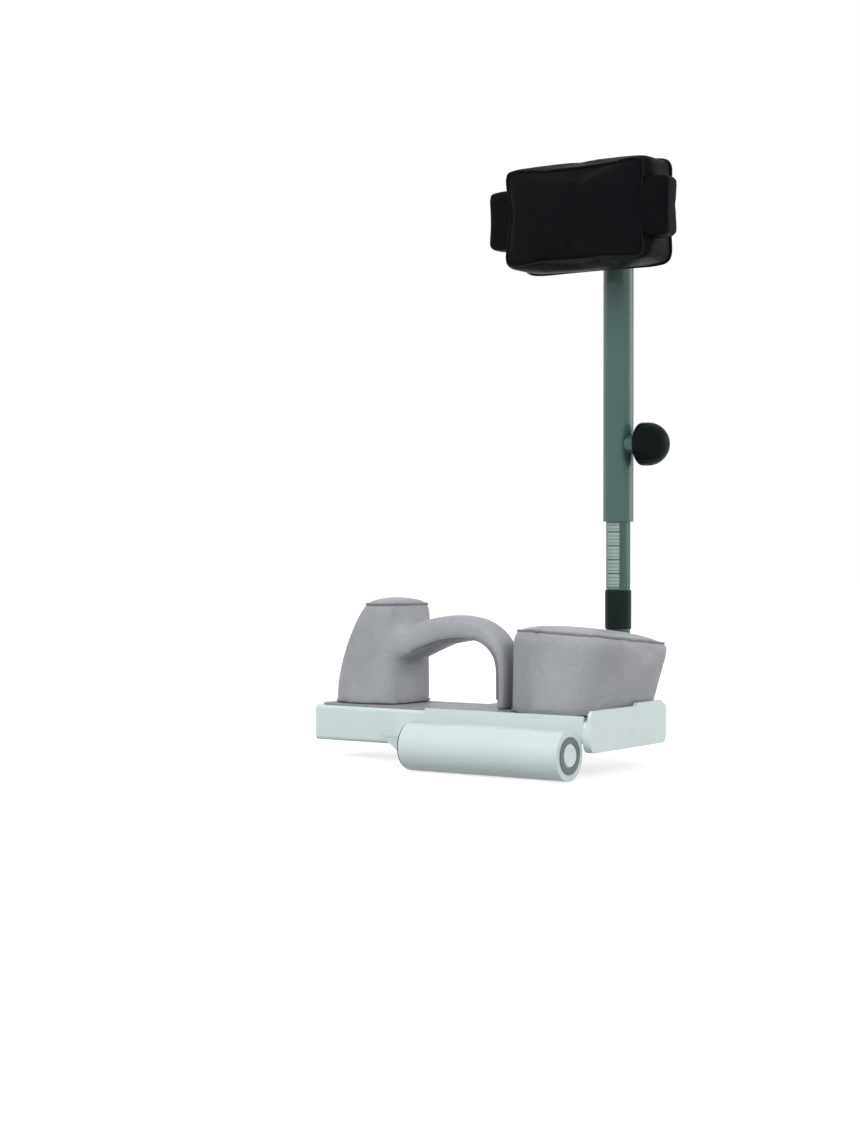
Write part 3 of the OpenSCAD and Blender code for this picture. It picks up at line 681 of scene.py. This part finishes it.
def trim(name, skin, line, body, welt_finish, closed=True):
    path = on_skin(skin, resample(line, WELT_PITCH, closed), WELT_LIFT)
    piece = welt(name, path, WELT_R, closed)
    paint(piece, welt_finish)
    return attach(piece, body)


def sew(name, skin, line, body, closed=True):
    path = on_skin(skin, resample(line, STITCH_PITCH, closed), STITCH_LIFT)
    piece = stitches(name, path, STITCH_L, STITCH_R)
    paint(piece, "grey_thread" if body == "carrier" else "black_welt")
    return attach(piece, body)


trim("lobe_top_welt", lobe, seam_ring(LOBE, 1.0, TOP_SEAM, on_carrier), "carrier", "grey_welt")
sew("lobe_top_stitch", lobe, seam_ring(LOBE, STITCH_SHARE, TOP_SEAM, on_carrier), "carrier")
trim("lobe_foot_welt", lobe, seam_ring(LOBE, 1.0, FOOT_SEAM, on_carrier), "carrier", "grey_welt")
trim("bolster_top_welt", cradle, seam_ring(BOLSTER, 1.0, TOP_SEAM, on_carrier), "carrier", "grey_welt")
trim("bolster_foot_welt", cradle, seam_ring(BOLSTER, 1.0, FOOT_SEAM, on_carrier), "carrier", "grey_welt")
for side, turn in (("front", -1), ("back", 1)):
    line = arch_ring(turn * ARCH_SEAM)[ARCH_SEAM_STEPS] * MM
    trim(f"arch_{side}_welt", cradle, line, "carrier", "grey_welt", closed=False)
trim("pad_face_welt", pad, seam_ring(PAD, 1.0, TOP_SEAM, on_head), "head", "black_welt")
trim("pad_back_welt", pad, seam_ring(PAD, 1.0, PAD_BACK_SEAM, on_head), "head", "black_welt")
sew("pad_face_stitch", pad, seam_ring(PAD, STITCH_SHARE, TOP_SEAM, on_head), "head")


def dress(piece, finish, body, fill, *stands_for):
    smooth = piece.modifiers.new("smooth", "SUBSURF")
    smooth.levels = 1
    smooth.render_levels = 1
    paint(piece, finish)
    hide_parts(*stands_for)
    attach(piece, body)


dress(cradle, "grey_vinyl", "carrier", 0.85, "bolster_cover", "bolster_foam", "arch_roll")
dress(lobe, "grey_vinyl", "carrier", 0.8, "lobe_cover", "lobe_foam")
dress(pad, "black_vinyl", "head", 0.85, "pad_cover", "pad_foam")
dress(core, "black_core", "head", 1.0, "pad_core")


# Stage
FLOOR_Z = cad_box[0].z - 1.0 * MM
FLOOR_REACH = 12.0
FLOOR_GREY = 0.4
FLOOR_GLOW = 0.76
WHITE_FROM = 0.7
WHITE_BY = 2.5
WORLD_FILL = 0.42


def seen_directly(tree):
    """One for camera, mirror and see-through rays, none for light that bounces softly."""
    path = add(tree, "ShaderNodeLightPath")
    first = add(tree, "ShaderNodeMath", operation="MAXIMUM")
    both = add(tree, "ShaderNodeMath", operation="MAXIMUM")
    tree.links.new(path.outputs["Is Camera Ray"], first.inputs[0])
    tree.links.new(path.outputs["Is Glossy Ray"], first.inputs[1])
    tree.links.new(first.outputs[0], both.inputs[0])
    tree.links.new(path.outputs["Is Transmission Ray"], both.inputs[1])
    return both.outputs[0]


def floor_material():
    """Ground that stays white to the eye, wholly so far out, and still shows the shadow near the part."""
    material = bpy.data.materials.new("floor_white")
    material.use_nodes = True
    tree = material.node_tree
    tree.nodes.clear()
    lit = add(tree, "ShaderNodeBsdfDiffuse", {"Color": (FLOOR_GREY, FLOOR_GREY, FLOOR_GREY, 1)})
    glow = add(tree, "ShaderNodeEmission", {"Color": (1, 1, 1, 1)})
    away = add(tree, "ShaderNodeVectorMath", operation="LENGTH")
    tree.links.new(add(tree, "ShaderNodeTexCoord").outputs["Object"], away.inputs[0])
    fade = {"From Min": WHITE_FROM, "From Max": WHITE_BY, "To Min": FLOOR_GLOW, "To Max": 1.0}
    level = add(tree, "ShaderNodeMapRange", fade)
    tree.links.new(away.outputs["Value"], level.inputs["Value"])
    strength = add(tree, "ShaderNodeMath", operation="MULTIPLY")
    tree.links.new(level.outputs["Result"], strength.inputs[0])
    tree.links.new(seen_directly(tree), strength.inputs[1])
    both = add(tree, "ShaderNodeAddShader")
    output = add(tree, "ShaderNodeOutputMaterial")
    tree.links.new(strength.outputs[0], glow.inputs["Strength"])
    tree.links.new(lit.outputs[0], both.inputs[0])
    tree.links.new(glow.outputs[0], both.inputs[1])
    tree.links.new(both.outputs[0], output.inputs["Surface"])
    return material


def make_floor():
    corners = [(-1, -1), (1, -1), (1, 1), (-1, 1)]
    points = [(FLOOR_REACH * x, FLOOR_REACH * y, FLOOR_Z) for x, y in corners]
    floor = mesh_object("floor", points, [(0, 1, 2, 3)])
    floor.data.materials.append(floor_material())


def make_world():
    """White to the eye and in reflections, a soft fill for everything else."""
    world = bpy.data.worlds.new("studio")
    scene.world = world
    world.use_nodes = True
    tree = world.node_tree
    tree.nodes.clear()
    fill = add(tree, "ShaderNodeBackground", {"Color": (1.0, 1.0, 1.0, 1), "Strength": WORLD_FILL})
    white = add(tree, "ShaderNodeBackground", {"Color": (1.0, 1.0, 1.0, 1), "Strength": 1.0})
    mixer = add(tree, "ShaderNodeMixShader")
    output = add(tree, "ShaderNodeOutputWorld")
    tree.links.new(seen_directly(tree), mixer.inputs[0])
    tree.links.new(fill.outputs[0], mixer.inputs[1])
    tree.links.new(white.outputs[0], mixer.inputs[2])
    tree.links.new(mixer.outputs[0], output.inputs["Surface"])


def area_light(name, place, target, size, watts, mirrored=False):
    lamp = bpy.data.lights.new(name, "AREA")
    lamp.shape = "SQUARE"
    lamp.size = size
    lamp.energy = watts
    obj = bpy.data.objects.new(name, lamp)
    obj.location = place
    obj.rotation_mode = "QUATERNION"
    obj.rotation_quaternion = (Vector(target) - Vector(place)).to_track_quat("-Z", "Y")
    obj.visible_glossy = mirrored
    obj.visible_camera = False
    scene.collection.objects.link(obj)


CAMERA_PLACE = Vector((1.917, -2.529, 0.2635))
CAMERA_AZIMUTH = math.radians(34.72)
CAMERA_PITCH = math.radians(-0.8)
CAMERA_LENS = 66.04
CAMERA_SENSOR = 36.0


def make_camera():
    data = bpy.data.cameras.new("photo_view")
    data.sensor_width = CAMERA_SENSOR
    data.lens = CAMERA_LENS
    camera = bpy.data.objects.new("photo_view", data)
    flat = math.cos(CAMERA_PITCH)
    ahead = Vector((
        -math.sin(CAMERA_AZIMUTH) * flat, math.cos(CAMERA_AZIMUTH) * flat, math.sin(CAMERA_PITCH)
    ))
    camera.location = CAMERA_PLACE
    camera.rotation_mode = "QUATERNION"
    camera.rotation_quaternion = ahead.to_track_quat("-Z", "Y")
    scene.collection.objects.link(camera)
    scene.camera = camera


make_floor()
make_world()
MIDDLE = (0.3, 0.0, 0.3)
area_light("key", (4.4, -2.6, 3.2), MIDDLE, size=3.0, watts=175.0)
area_light("fill", (-1.6, -4.2, 3.2), MIDDLE, size=3.0, watts=140.0)
area_light("back", (-2.4, 3.4, 3.0), MIDDLE, size=3.0, watts=80.0)
area_light("rim", (2.2, 2.0, 0.8), MIDDLE, size=1.2, watts=10.0, mirrored=True)
make_camera()
scene.view_settings.view_transform = "Standard"
